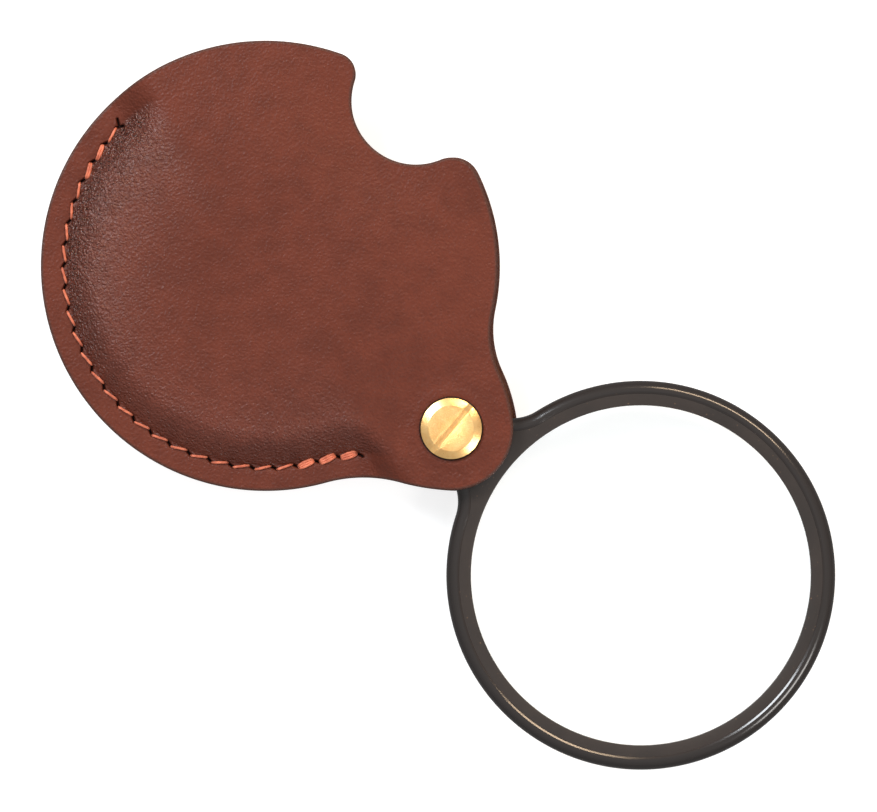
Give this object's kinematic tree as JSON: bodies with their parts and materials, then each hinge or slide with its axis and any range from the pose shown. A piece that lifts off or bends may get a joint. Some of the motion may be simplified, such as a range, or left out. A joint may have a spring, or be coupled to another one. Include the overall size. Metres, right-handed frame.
{
  "type": "folding pocket magnifying glass",
  "caption": "Folding pocket magnifier: a round lens in a dark frame swings about a brass screw post out of a stitched brown leather case with a thumb notch.",
  "frame": {"origin": "centre of the barrel nut's flat outer face, on the pivot axis, where the open magnifier lies on its back", "axes": "+Z along the pivot axis, out of the front panel; +X points away from the case, so that the open lens lies 37.75 degrees below it, towards -Y"},
  "size_m": [0.1169, 0.1073, 0.0108],
  "materials": {
    "brown_leather": "smooth aniline grain, satin",
    "suede": "napped",
    "brown_thread": "waxed thread",
    "brass": "brushed face, polished bevel",
    "dark_plastic": "satin face, glossy edge",
    "clear_glass": "polished",
    "nylon": "satin"
  },
  "bodies": {
    "case": {"case_front_leather": "brown_leather", "case_back_leather": "brown_leather", "case_front_lining": "suede", "case_back_lining": "suede", "needle_thread": "brown_thread", "bobbin_thread": "brown_thread", "pivot_screw": "brass", "pivot_post": "brass", "front_washer": "nylon", "back_washer": "nylon"},
    "lens_unit": {"lens_frame": "dark_plastic", "lens": "clear_glass", "lens_retaining_ring": "dark_plastic"}
  },
  "joints": [
    {"name": "lens_swing", "type": "hinge", "parent": "case", "child": "lens_unit", "pos_m": [0, 0, 0.0054], "axis": [0, 0, 1], "range_deg": [-48, 170]}
  ]
}
